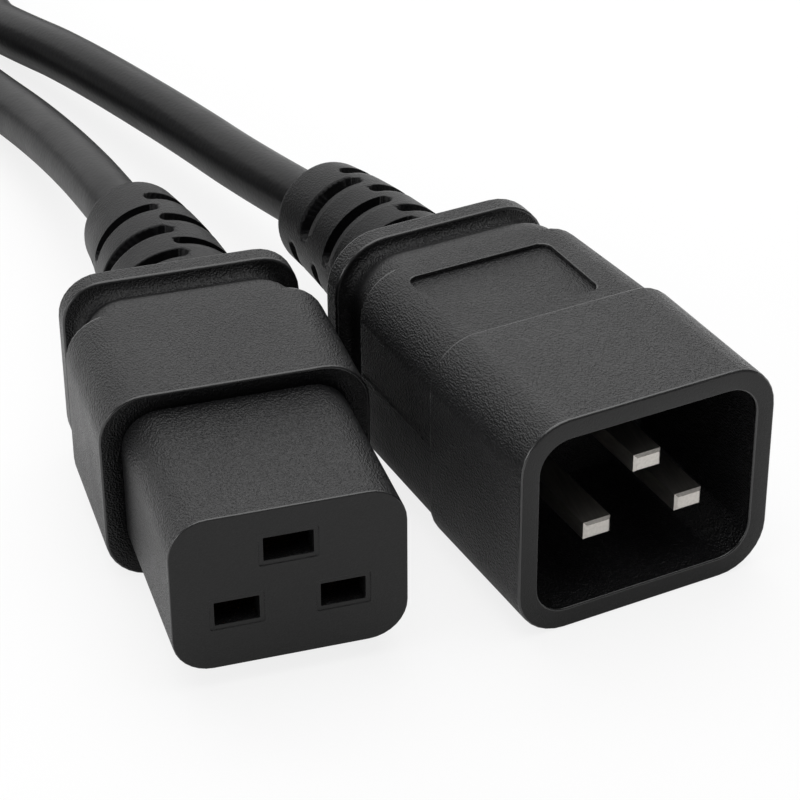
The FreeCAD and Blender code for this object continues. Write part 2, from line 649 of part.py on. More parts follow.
def jacket_end(name, side, block_end):
    """The cord's jacket inside the boot, from just inside the inner mould to the boot's mouth."""
    rod = doc.addObject("Part::Cylinder", f"{name}_rod")
    bind(rod, "Radius", "cord_radius")
    start = boot_point(side, size(block_end) - size(side["boot_y"]) - 2)
    stop = boot_point(side, size(side["boot_length"]))
    rod.Height = (stop - start).Length
    rod.Placement = ground(side).multiply(Placement(start, Rotation(Vector(0, 0, 1), stop - start)))
    return rod


# The free cord from the connector's boot to the plug's: down onto the surface, away behind both
# ends, round one wide loop and back.
ROUTE = [
    (0.9, 65.4, 13.5), (-1.5, 82.7, 7), (-3.2, 102, 4.3), (-11.9, 123.9, 4.3), (-19, 151, 4.3),
    (-26.5, 179, 4.3), (-32.5, 206, 4.3), (-38, 233.9, 4.3), (-37.1, 254.2, 4.3),
    (-28.3, 272.2, 4.3), (-13.1, 285.1, 4.3), (5.9, 291, 4.3), (25.4, 289, 4.3), (42.5, 279.5, 4.3),
    (54.5, 264.1, 4.3), (59.6, 245.4, 4.3), (57.3, 226.7, 4.3), (48.2, 210.4, 4.3),
    (35.6, 199.4, 4.3), (16.3, 191, 4.3), (2.4, 175.6, 4.3), (-3.9, 155.8, 4.3), (-1.4, 135.1, 4.3),
    (11.4, 114.1, 4.3), (15.7, 96.5, 4.8), (21.4, 77.1, 7), (24.2, 60.5, 13),
]
EXIT_RUN = 10.0


def cord():
    """The free cord; its first and last runs lie on the axes of the two strain reliefs."""
    ends = []
    for side in (CONNECTOR, PLUG):
        mouth = size(side["boot_length"])
        ends.append([ground(side).multVec(boot_point(side, mouth + run)) for run in (0, EXIT_RUN)])
    points = ends[0] + [Vector(*p) for p in ROUTE] + ends[1][::-1]
    rod, radii, length = swept(points, size("cord_radius"))
    print("cord ends", [[round(c, 3) for c in p] for p in ends[0] + ends[1]])
    print("cord length", round(length, 1), "radii", [round(r, 1) for r in radii])
    thing = doc.addObject("Part::Feature", "cord")
    thing.Label = "cord"
    thing.Shape = rod
    return thing


# ---- assembly -------------------------------------------------------------------------------
def wired_end(end, side, pieces, spots, crimp, straight, mould, block_end):
    """One end of the cord: its own pieces, the cores, the inner mould and the jacket's end."""
    made = [lay(piece, side) for piece in pieces]
    wires = cores(end, side, spots, crimp, straight, size(block_end))
    wiring = joined(f"{end}_wiring", wires)
    jacket = jacket_end(f"{end}_jacket_end", side, block_end)
    inside = joined(f"{end}_inside", wires + [jacket] + [p for p in made if p.Label.endswith("pin")])
    block = lay(inner_mould(f"{end}_inner_mould", *mould, block_end), side)
    return made + wires + [cut_from(f"{end}_inner_mould", block, inside),
                           cut_from(f"{end}_jacket_end", jacket, wiring)]


slots_at = poles("nose_mid", "slot_drop")
pins_at = poles("shroud_mid", "pin_drop")
sub_parts = wired_end(
    "connector", CONNECTOR, [contact_carrier(), connector_body()] + [contact(*spot) for spot in slots_at],
    slots_at, size("crimp_start"), size("tail_end") - 2,
    ("mould_width", "mould_height", "mould_corner", "shoulder_mid", "tail_end"), "mould_end")
sub_parts += wired_end(
    "plug", PLUG, [plug_shroud(), pin_bridge(), plug_body()] + [pin(*spot) for spot in pins_at],
    pins_at, size("pin_end") + 0.4, size("pin_end") + 10.4,
    ("core_block_width", "core_block_height", "bridge_corner", "housing_mid", "bridge_end"),
    "core_block_end")
sub_parts.append(cord())
doc.recompute()

for thing in doc.Objects:
    if "Invalid" in thing.State or "Error" in thing.State:
        raise RuntimeError(f"{thing.Name} failed: {thing.State}")
os.makedirs("parts", exist_ok=True)
for thing in sub_parts:
    shape = thing.Shape
    if shape.isNull() or not shape.isValid():
        raise RuntimeError(f"{thing.Label} has no valid shape")
    if len(shape.Solids) != 1:
        raise RuntimeError(f"{thing.Label} has {len(shape.Solids)} solids")
    shape.exportStep(f"parts/{thing.Label}.step")
    box = shape.optimalBoundingBox(True, False)
    print(f"{thing.Label:28s} {shape.Volume:9.1f} mm3  x {box.XMin:6.1f} {box.XMax:6.1f}"
          f"  y {box.YMin:6.1f} {box.YMax:6.1f}  z {box.ZMin:5.2f} {box.ZMax:5.1f}")
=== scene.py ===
# Mains cord set on a white sweep: slotted connector, its cord and the matching plug.
import bpy, bmesh, json, math
from mathutils import Matrix, Vector


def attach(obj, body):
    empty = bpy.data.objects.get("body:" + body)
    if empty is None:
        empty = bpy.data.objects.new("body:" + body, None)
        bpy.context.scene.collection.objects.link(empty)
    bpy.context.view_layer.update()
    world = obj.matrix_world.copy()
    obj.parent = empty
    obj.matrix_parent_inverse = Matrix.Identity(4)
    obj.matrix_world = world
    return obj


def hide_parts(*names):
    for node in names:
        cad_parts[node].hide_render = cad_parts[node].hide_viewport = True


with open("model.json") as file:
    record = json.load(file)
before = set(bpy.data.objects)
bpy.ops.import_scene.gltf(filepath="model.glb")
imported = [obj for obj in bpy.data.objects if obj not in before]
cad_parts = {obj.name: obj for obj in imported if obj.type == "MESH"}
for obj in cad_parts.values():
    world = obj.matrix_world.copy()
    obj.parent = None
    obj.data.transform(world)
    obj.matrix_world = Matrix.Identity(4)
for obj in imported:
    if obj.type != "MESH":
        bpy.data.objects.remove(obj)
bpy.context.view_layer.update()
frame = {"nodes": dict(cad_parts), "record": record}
scene = bpy.context.scene
mm = 0.001
print("frame loaded:", len(frame["nodes"]), "nodes")

# place and lens in mm; the camera is turned about the vertical, tipped down, then rolled
camera = {
    "place": (-63.67, -300.14, 203.77), "turn": -16.875, "down": 32.208, "roll": -0.379,
    "lens": 123.93, "sensor": 36, "near": 0.01, "far": 20,
}


def makeCamera():
    data = bpy.data.cameras.new("camera")
    data.lens = camera["lens"]
    data.sensor_width = camera["sensor"]
    data.clip_start = camera["near"]
    data.clip_end = camera["far"]
    holder = bpy.data.objects.new("camera", data)
    scene.collection.objects.link(holder)
    turn = Matrix.Rotation(math.radians(camera["turn"]), 4, "Z")
    tip = Matrix.Rotation(math.radians(90 - camera["down"]), 4, "X")
    roll = Matrix.Rotation(math.radians(camera["roll"]), 4, "Z")
    holder.matrix_world = Matrix.Translation(Vector(camera["place"]) * mm) @ turn @ tip @ roll
    scene.camera = holder


makeCamera()

# centre line of the free cord in mm, from the connector's strain relief to the plug's
cord = {
    "radius": 4.3, "steps": 12, "roundness": 10,
    "points": [
        (0.7, 45.2, 13.8), (-0.1, 54.1, 13.1), (-1.6, 71.1, 11), (-4.6, 92.9, 7.8),
        (-8.8, 111.6, 5.4), (-12.5, 126.2, 4.4), (-19.8, 153.6, 4.3), (-31.2, 197.9, 4.3),
        (-36.4, 221.4, 4.3), (-37.6, 233.9, 4.3), (-37.1, 254.2, 4.3), (-28.3, 272.2, 4.3),
        (-13.1, 285.1, 4.3), (5.9, 290.2, 4.3), (25.4, 288.6, 4.3), (42.5, 279.3, 4.3),
        (54, 264, 4.3), (58.8, 245.4, 4.3), (57.3, 226.7, 4.3), (48.2, 210.4, 4.3),
        (35.6, 199.4, 4.3), (16.3, 191, 4.3), (6.9, 184, 4.3), (-2.2, 170.5, 4.3),
        (-4.1, 143.9, 4.3), (-0.3, 130.8, 6.2), (5.8, 114.4, 8.3), (16.7, 81.2, 10.4),
        (22.4, 59.4, 12), (27.83, 40.64, 14.2)],
    "plugPieces": ["pin_bridge", "live_pin", "neutral_pin", "earth_pin",
                   "plug_live_core", "plug_neutral_core", "plug_earth_core", "plug_live_strands",
                   "plug_neutral_strands", "plug_earth_strands", "plug_inner_mould",
                   "plug_jacket_end"],
}


def makeCord():
    curve = bpy.data.curves.new("cord", "CURVE")
    curve.dimensions = "3D"
    curve.resolution_u = cord["steps"]
    curve.bevel_depth = 1  # times each point's radius, so that the box round the curve fits it
    curve.bevel_resolution = cord["roundness"]
    curve.use_fill_caps = True
    line = curve.splines.new("NURBS")
    line.points.add(len(cord["points"]) - 1)
    for knot, place in zip(line.points, cord["points"]):
        knot.co = (*(Vector(place) * mm), 1)
        knot.radius = cord["radius"] * mm
    line.order_u = 3
    line.use_endpoint_u = True
    piece = bpy.data.objects.new("cordJacket", curve)
    scene.collection.objects.link(piece)
    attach(piece, "root")
    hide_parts("cord")
    return piece


cordJacket = makeCord()
print("cord made")

# both ends are drawn in mm with the nose at y = 0 and the cord leaving towards +y, then laid in
# their places
ends = {
    "connector": {"place": (0, -45.3, 0), "turn": 0},
    "plug": {"place": (45.2, -44.6, 0), "turn": 10.6},
}
layEnd = {}
for name, end in ends.items():
    turn = Matrix.Rotation(math.radians(end["turn"]), 4, "Z")
    layEnd[name] = Matrix.Translation(end["place"]) @ turn

quarter = (0, 22.5, 45, 67.5, 90)  # the angles round a rounded edge or a fillet
past = 1  # how far a cutter runs past what it cuts
nearRings = 1  # rings this close together belong to one rounded edge
slope = 0.985  # a face whose normal stands more upright than this is part of the flat top


# one flat rounded rectangle round the origin
def addSheet(bm, width, height, corner, segments):
    known = set(bm.faces)
    grid = bmesh.ops.create_grid(bm, x_segments=1, y_segments=1, size=0.5)["verts"]
    bmesh.ops.scale(bm, verts=grid, vec=(width, height, 1))
    bmesh.ops.bevel(bm, geom=grid, offset=corner, offset_type="OFFSET", affect="VERTICES",
                    segments=segments, profile=0.5, material=-1)
    return next(f for f in bm.faces if f not in known)


# one rounded-rectangle loop across the piece, at y from its front
def addRing(bm, y, width, height, corner, x, z):
    face = addSheet(bm, width, height, corner, 8)
    bmesh.ops.rotate(bm, verts=face.verts, cent=(0, 0, 0),
                     matrix=Matrix.Rotation(math.pi / 2, 3, "X"))
    bmesh.ops.translate(bm, verts=face.verts, vec=(x, y, z))
    return face


# puts a finished closed shape into a piece, with its faces pointing outwards
def addShape(bm, shape):
    bmesh.ops.recalc_face_normals(shape, faces=shape.faces)
    if shape.calc_volume(signed=True) < 0:
        bmesh.ops.reverse_faces(shape, faces=shape.faces)
    mesh = bpy.data.meshes.new("shape")
    shape.to_mesh(mesh)
    shape.free()
    bm.from_mesh(mesh)
    bpy.data.meshes.remove(mesh)


# a closed skin through rings from first to last, which may turn back inside to make a hollow;
# between two near rings that carry a seventh value the skin gets that material slot, except on
# the flat top and bottom
def addLoft(bm, rings):
    shape = bmesh.new()
    base = addRing(shape, *rings[0][:6])
    old, cap = [v.co.copy() for v in base.verts], base
    for last, ring in zip(rings, rings[1:]):
        pattern = bmesh.new()
        places = [v.co.copy() for v in addRing(pattern, *ring[:6]).verts]
        pattern.free()
        known = set(shape.faces)
        grown = bmesh.ops.extrude_face_region(shape, geom=[cap])["geom"]
        if cap is not base and cap.is_valid:
            bmesh.ops.delete(shape, geom=[cap], context="FACES_ONLY")
        cap = next(f for f in grown if isinstance(f, bmesh.types.BMFace))
        for v in cap.verts:
            v.co = places[min(range(len(old)), key=lambda k: (old[k] - v.co).length_squared)]
        if len(last) > 6 and len(ring) > 6 and abs(last[0] - ring[0]) < nearRings:
            for face in shape.faces:
                face.normal_update()
                if face not in known and face is not cap and abs(face.normal.z) < slope:
                    face.material_index = ring[6]
        old = places
    addShape(bm, shape)


# rings that round an outer edge: facing -1 is a front edge, 1 a back edge; they carry slot 1,
# the rubbed finish, and top=0 leaves the edge along the top and bottom unrounded
def easedEdge(y, width, height, corner, x, z, ease, facing, top=1):
    rings = []
    for angle in quarter:
        inset = ease * (1 - math.sin(math.radians(angle)))
        back = ease * (1 - math.cos(math.radians(angle)))
        rings.append((y - facing * back, width - 2 * inset, height - 2 * inset * top,
                      corner - inset, x, z, 1))
    return rings if facing < 0 else rings[::-1]


# the finger grip narrows smoothly over most of its length, at the sides first and later on at
# the top, then flares in a small fillet where it meets the rim
gripCurve = {"steps": 10, "along": 0.8, "sides": 1.3, "top": 1.9}


def gripRings(grip, x, z):
    rings = []
    (narrowX, narrowZ), root = grip["narrows"], grip["root"]
    length = grip["end"] - grip["start"]
    for k in range(gripCurve["steps"] + 1):
        share = k / gripCurve["steps"]
        drops = [ease * ease * (3 - 2 * ease)
                 for ease in (share ** gripCurve["sides"], share ** gripCurve["top"])]
        rings.append((grip["start"] + gripCurve["along"] * length * share,
                      grip["width"] - narrowX * drops[0], grip["height"] - narrowZ * drops[1],
                      grip["corner"], x, z))
    for angle in quarter:
        out = 2 * root * (1 - math.cos(math.radians(angle)))
        rings.append((grip["end"] - root + root * math.sin(math.radians(angle)),
                      grip["width"] - narrowX + out, grip["height"] - narrowZ + out,
                      grip["corner"] + out / 2, x, z))
    return rings


# the back half of an overmould: its rear edge, the finger grip and the rim at the cord's side
def rearRings(look):
    mid, x = look["mid"], look["offset"]
    return (easedEdge(look["end"], *look["rear"], look["lean"], mid, look["rearEdge"], 1, 0)
            + gripRings(look["grip"], x, mid)
            + easedEdge(look["rimFront"], *look["rim"], x, mid, look["rimEdge"], -1)
            + easedEdge(look["rimBack"], *look["rim"], x, mid, look["rimEdge"], 1))


# takes the cutter's closed shapes out of the piece and throws the cutter away
def carve(bm, cutter):
    holders = []
    for name, made in (("carved", bm), ("cutter", cutter)):
        mesh = bpy.data.meshes.new(name)
        made.to_mesh(mesh)
        holder = bpy.data.objects.new(name, mesh)
        scene.collection.objects.link(holder)
        holders.append(holder)
    cut = holders[0].modifiers.new("cut", "BOOLEAN")
    cut.operation = "DIFFERENCE"
    cut.solver = "EXACT"
    cut.object = holders[1]
    graph = bpy.context.evaluated_depsgraph_get()
    result = bpy.data.meshes.new_from_object(holders[0].evaluated_get(graph))
    bm.clear()
    bm.from_mesh(result)
    cutter.free()
    bpy.data.meshes.remove(result)
    for holder in holders:
        mesh = holder.data
        bpy.data.objects.remove(holder)
        bpy.data.meshes.remove(mesh)


# lays the piece in its place in metres; soften is the width in mm of a small round on every
# edge sharper than 50 degrees
def finishPiece(name, bm, place, node, soften=None):
    bmesh.ops.transform(bm, matrix=Matrix.Scale(mm, 4) @ place, verts=bm.verts)
    mesh = bpy.data.meshes.new(name)
    bm.to_mesh(mesh)
    bm.free()
    mesh.shade_smooth()
    piece = bpy.data.objects.new(name, mesh)
    scene.collection.objects.link(piece)
    if soften:
        edge = piece.modifiers.new("soften", "BEVEL")
        edge.limit_method = "ANGLE"
        edge.angle_limit = math.radians(50)
        edge.width = soften * mm
        edge.segments = 2
    flat = piece.modifiers.new("flatFaces", "WEIGHTED_NORMAL")
    flat.keep_sharp = True
    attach(piece, "root")
    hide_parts(node)
    return piece


# live and neutral side by side, earth above them
poleSpacing = {"side": 6.5, "earthRise": 8}


def poles(mid, drop):
    side, low = poleSpacing["side"], mid - drop
    return ((-side, low, "pole"), (side, low, "pole"), (0, low + poleSpacing["earthRise"], "earth"))


nose = {
    "size": (29.0, 21.4, 4.9), "mid": 13.45, "length": 24.8, "edge": 0.22, "soften": 0.06,
    "tail": (25.0, 17.4, 3.0), "tailEnd": 36.0,
    "slot": (5.5, 3.2), "earthSlot": (6.1, 3.2), "drop": 2.9, "slotCorner": 0.12,
    "frame": 0.6, "frameDepth": 0.12, "frameCorner": 0.3, "lip": 3.0, "chamber": (7.4, 5.4, 0.4),
}


def makeNose():
    bm = bmesh.new()
    mid, length = nose["mid"], nose["length"]
    addLoft(bm, [(nose["tailEnd"], *nose["tail"], 0, mid), (length, *nose["tail"], 0, mid),
                 (length, *nose["size"], 0, mid)]
            + easedEdge(0, *nose["size"], 0, mid, nose["edge"], -1)[::-1])
    cutter = bmesh.new()
    for x, z, pole in poles(mid, nose["drop"]):
        width, height = nose["earthSlot"] if pole == "earth" else nose["slot"]
        frameSize = (width + 2 * nose["frame"], height + 2 * nose["frame"], nose["frameCorner"])
        slotSize = (width, height, nose["slotCorner"])
        addLoft(cutter, [(-past, *frameSize, x, z), (nose["frameDepth"], *frameSize, x, z),
                         (nose["frameDepth"], *slotSize, x, z), (nose["lip"], *slotSize, x, z),
                         (nose["lip"], *nose["chamber"], x, z),
                         (nose["tailEnd"] + past, *nose["chamber"], x, z)])
    carve(bm, cutter)
    return finishPiece("noseInsert", bm, layEnd["connector"], "contact_carrier",
                       nose["soften"])


# foot gives (along, share of the flare) and tip (short of the end, out from the tip's radius);
# each family of slots has the middle and half of its angle and the place of its first row
boots = {
    "connector": {"place": (1.8, 56.6, 13.5), "rise": 2.0, "length": 34.0, "base": 11.0,
                  "tip": 7.3, "left": 6.5, "down": 5.0},
    "plug": {"place": (-0.5, 54.5, 14.95), "rise": 0.0, "length": 32.5, "base": 10.5,
             "tip": 7.8, "left": 5.5, "down": 4.5},
    "bore": 4.3, "round": 64, "bendFrom": 14.0,
    "flare": 0.7, "foot": ((-0.4, 1), (0, 1), (0.1, 0.35), (0.35, 0.1), (0.8, 0)),
    "taper": {"rows": 24, "start": 0.8, "short": 5.3, "plump": 0.35},
    "tip": ((1.6, 0.08), (1.0, -0.08), (0.5, -0.4), (0.1, -0.8), (0, -1.1)),
    "gap": 2.3, "pitch": 8.1, "floor": 5.3, "slotRows": 3, "slotEnds": 6, "slotBends": 14,
    "slotReach": 0.92,
    "families": ((46.0, 43.0, 10.2), (126.0, 43.0, 6.15)),
}


# a straight cutter with round ends, bent round the boot's axis
def addSlotCutter(cutter, look, middle, half, along):
    outer = look["base"] + past
    bm = bmesh.new()
    reach = math.radians(half) * look["base"] * boots["slotReach"]
    addSheet(bm, 2 * reach, boots["gap"], boots["gap"] / 2 - 0.01, boots["slotEnds"])
    deep = bmesh.ops.extrude_face_region(bm, geom=bm.faces[:])["geom"]
    top = [v for v in deep if isinstance(v, bmesh.types.BMVert)]
    bmesh.ops.translate(bm, verts=top, vec=(0, 0, 1))
    for k in range(1, boots["slotBends"]):
        at = -reach + 2 * reach * k / boots["slotBends"]
        bmesh.ops.bisect_plane(bm, geom=bm.verts[:] + bm.edges[:] + bm.faces[:],
                               plane_co=(at, 0, 0), plane_no=(1, 0, 0))
    for v in bm.verts:
        angle = math.radians(middle) + v.co.x / reach * math.radians(half)
        radius = boots["floor"] + (outer - boots["floor"]) * v.co.z
        v.co = (radius * math.cos(angle), along + v.co.y, radius * math.sin(angle))
    addShape(cutter, bm)


# the cord's pull has set the outer half of the strain relief in a slight curve
def bendBoot(bm, look):
    start = boots["bendFrom"]
    whole = math.radians(math.hypot(look["left"], look["down"]))
    reach = look["length"] - start
    towards = Vector((-look["left"], 0, -look["down"])).normalized()
    hinge = Vector((0, 1, 0)).cross(towards)
    for v in bm.verts:
        if v.co.y > start:
            turn = whole * (v.co.y - start) / reach
            middle = Vector((0, start + reach / whole * math.sin(turn), 0))
            middle += towards * reach / whole * (1 - math.cos(turn))
            v.co = middle + Matrix.Rotation(turn, 3, hinge) @ Vector((v.co.x, 0, v.co.z))


def makeBoot(name, end, node):
    look, taper = boots[end], boots["taper"]
    base, tip, length, bore = look["base"], look["tip"], look["length"], boots["bore"]
    profile = [(boots["foot"][0][0], bore)]
    profile += [(along, base + share * boots["flare"]) for along, share in boots["foot"]]
    for k in range(1, taper["rows"] + 1):
        share = k / taper["rows"]
        profile.append((taper["start"] + (length - taper["short"]) * share,
                        base + (tip + taper["plump"] - base) * share))
    profile += [(length - short, tip + out) for short, out in boots["tip"]] + [(length, bore)]
    bm = bmesh.new()
    points = [bm.verts.new((radius, along, 0)) for along, radius in profile]
    lines = [bm.edges.new(pair) for pair in zip(points, points[1:] + points[:1])]
    bmesh.ops.spin(bm, geom=points + lines, cent=(0, 0, 0), axis=(0, 1, 0), dvec=(0, 0, 0),
                   angle=math.tau, steps=boots["round"], use_merge=True, use_normal_flip=False)
    bmesh.ops.remove_doubles(bm, verts=bm.verts, dist=0.0005)
    bmesh.ops.recalc_face_normals(bm, faces=bm.faces)
    cutter = bmesh.new()
    for middle, half, first in boots["families"]:
        for row in range(boots["slotRows"]):
            for side in (0, 180):
                addSlotCutter(cutter, look, middle + side, half, first + row * boots["pitch"])
    carve(bm, cutter)
    bendBoot(bm, look)
    lift = Matrix.Translation(look["place"]) @ Matrix.Rotation(math.radians(look["rise"]), 4, "X")
    return finishPiece(name, bm, layEnd[end] @ lift, node)


gripMould = {
    "mid": 13.2, "shoulder": (34.5, 26.4, 6.0), "front": 24.8, "edge": 0.3,
    "rear": (34.5, 26.4, 6.0), "lean": 0, "end": 45.3, "rearEdge": 0.25,
    "grip": {"start": 45.3, "end": 53.6, "width": 28.8, "height": 26.38, "narrows": (1.8, 3.6),
             "corner": 5.0, "root": 1.5},
    "offset": 0, "rim": (32.0, 26.4, 5.6), "rimFront": 53.6, "rimBack": 56.6, "rimEdge": 0.35,
    "tail": (25.0, 17.4, 3.0), "tailEnd": 36.0, "tailMid": 13.45,
    "core": (22.0, 15.0, 2.5), "coreEnd": 50.0,
}


def makeGripMould():
    look, mid = gripMould, gripMould["mid"]
    bm = bmesh.new()
    addLoft(bm, [(look["coreEnd"], *look["core"], 0, mid), (look["tailEnd"], *look["core"], 0, mid),
                 (look["tailEnd"], *look["tail"], 0, look["tailMid"]),
                 (look["front"], *look["tail"], 0, look["tailMid"])]
            + easedEdge(look["front"], *look["shoulder"], 0, mid, look["edge"], -1)
            + rearRings(look))
    return finishPiece("connectorGrip", bm, layEnd["connector"], "connector_body")


hood = {
    "size": (35.7, 30.2, 6.5), "mid": 15.1, "length": 22.9, "edge": 0.35, "rearEdge": 0.4,
    "mouth": (30.3, 24.4, 4.1), "depth": 25.3, "bevel": 0.3,
    "socket": (32.6, 26.6, 5.0), "socketEnd": 28.5, "pin": (3.8, 2.4, 0.1), "drop": 2.4,
}


def makeHood():
    look, mid = hood, hood["mid"]
    width, height, corner = look["mouth"]
    bevel = look["bevel"]
    bm = bmesh.new()
    addLoft(bm, [(look["socketEnd"], *look["socket"], 0, mid),
                 (look["length"], *look["socket"], 0, mid)]
            + easedEdge(look["length"], *look["size"], 0, mid, look["rearEdge"], 1)[::-1]
            + easedEdge(0, *look["size"], 0, mid, look["edge"], -1)[::-1]
            + [(0, width + 2 * bevel, height + 2 * bevel, corner + bevel, 0, mid, 1),
               (bevel, width, height, corner, 0, mid, 1),
               (look["depth"], width, height, corner, 0, mid)])
    cutter = bmesh.new()
    for x, z, pole in poles(mid, look["drop"]):
        addLoft(cutter, [(look["depth"] - past, *look["pin"], x, z),
                         (look["socketEnd"] + past, *look["pin"], x, z)])
    carve(bm, cutter)
    return finishPiece("plugHood", bm, layEnd["plug"], "plug_shroud")


housing = {
    "mid": 14.9, "front": (34.9, 28.6, 6.3), "start": 22.9, "soften": 0.2,
    "rear": (33.5, 28.6, 6.3), "lean": -0.4, "end": 43.1, "rearEdge": 0.25,
    "grip": {"start": 43.1, "end": 51.5, "width": 30.0, "height": 28.58, "narrows": (2.0, 3.6),
             "corner": 6.0, "root": 1.1},
    "offset": -0.5, "rim": (31.8, 28.0, 7.4), "rimFront": 51.5, "rimBack": 54.5, "rimEdge": 0.35,
    "bridge": (25.0, 18.0, 3.0), "bridgeEnd": 34.0, "core": (23.0, 17.0, 3.0), "coreEnd": 53.5,
    "plate": {"x": -1.6, "width": 20.6, "start": 26.3, "length": 13.9, "corner": 1.4,
              "segments": 6, "depth": 0.6, "lip": 0.14, "above": 1.0},
    "flash": {"thick": 0.3, "high": 0.13, "sunk": 0.1, "short": 1},
}


# the shallow recess of the bare plate: straight walls first, then the worn lip, which opens at
# 45 degrees and runs on above the top as the cutter's mouth
def carvePlate(bm):
    plate = housing["plate"]
    width, length = plate["width"], plate["length"]
    top = housing["mid"] + housing["front"][1] / 2
    cutter = bmesh.new()
    addSheet(cutter, width, length, plate["corner"], plate["segments"])
    lid = cutter.faces[:]
    for rise, flare, slot in ((plate["depth"] - plate["lip"], 0, 0),
                              (plate["above"], plate["above"], 1)):
        lid = bmesh.ops.extrude_face_region(cutter, geom=lid)["geom"]
        corners = [part for part in lid if isinstance(part, bmesh.types.BMVert)]
        bmesh.ops.translate(cutter, verts=corners, vec=(0, 0, rise))
        bmesh.ops.scale(cutter, verts=corners,
                        vec=(1 + 2 * flare / width, 1 + 2 * flare / length, 1))
        for face in {face for v in corners for face in v.link_faces}:
            face.material_index = slot
    bmesh.ops.recalc_face_normals(cutter, faces=cutter.faces)
    bmesh.ops.translate(cutter, verts=cutter.verts, vec=(
        plate["x"], plate["start"] + length / 2, top - plate["depth"]))
    carve(bm, cutter)


# the two halves of the tool met at mid height and left a hair of flash along each side
def addFlash(bm):
    look, flash = housing, housing["flash"]
    start, end = look["start"], look["end"]
    for side in (-1, 1):
        verts = bmesh.ops.create_cube(bm, size=1)["verts"]
        bmesh.ops.scale(bm, verts=verts, vec=(
            flash["thick"], end - start - flash["short"], flash["high"]))
        bmesh.ops.translate(bm, verts=verts, vec=(0, (end + start) / 2, look["mid"]))
        for v in verts:
            share = (v.co.y - start) / (end - start)
            half = (look["front"][0] + (look["rear"][0] - look["front"][0]) * share) / 2
            v.co.x += side * (half - flash["sunk"]) + look["lean"] * share
        for face in {face for v in verts for face in v.link_faces}:
            face.material_index = 1


def makeHousing():
    look, mid = housing, housing["mid"]
    bm = bmesh.new()
    addLoft(bm, [(look["coreEnd"], *look["core"], 0, mid),
                 (look["bridgeEnd"], *look["core"], 0, mid),
                 (look["bridgeEnd"], *look["bridge"], 0, hood["mid"]),
                 (hood["socketEnd"], *look["bridge"], 0, hood["mid"]),
                 (hood["socketEnd"], *hood["socket"], 0, hood["mid"]),
                 (look["start"], *hood["socket"], 0, hood["mid"]),
                 (look["start"], *look["front"], 0, mid)]
            + rearRings(look))
    carvePlate(bm)
    addFlash(bm)
    return finishPiece("plugHousing", bm, layEnd["plug"], "plug_body",
                       look["soften"])


noseInsert = makeNose()
connectorGrip = makeGripMould()
connectorBoot = makeBoot("connectorBoot", "connector", "connector_body")
print("connector made")
plugHood = makeHood()
plugHousing = makeHousing()
plugBoot = makeBoot("plugBoot", "plug", "plug_body")
print("plug made")


def fromHex(code):
    parts = [int(code[k:k + 2], 16) / 255 for k in (1, 3, 5)]
    return [p / 12.92 if p <= 0.04045 else ((p + 0.055) / 1.055) ** 2.4 for p in parts] + [1]


def addNode(material, kind, settings=None, inputs=None):
    tree = material.node_tree
    node = tree.nodes.new(kind)
    for name, value in (settings or {}).items():
        setattr(node, name, value)
    for name, value in (inputs or {}).items():
        if isinstance(value, bpy.types.NodeSocket):
            tree.links.new(value, node.inputs[name])
        else:
            node.inputs[name].default_value = value
    return node


def startMaterial(name):
    material = bpy.data.materials.new(name)
    material.use_nodes = True
    return material, material.node_tree, material.node_tree.nodes["Principled BSDF"]


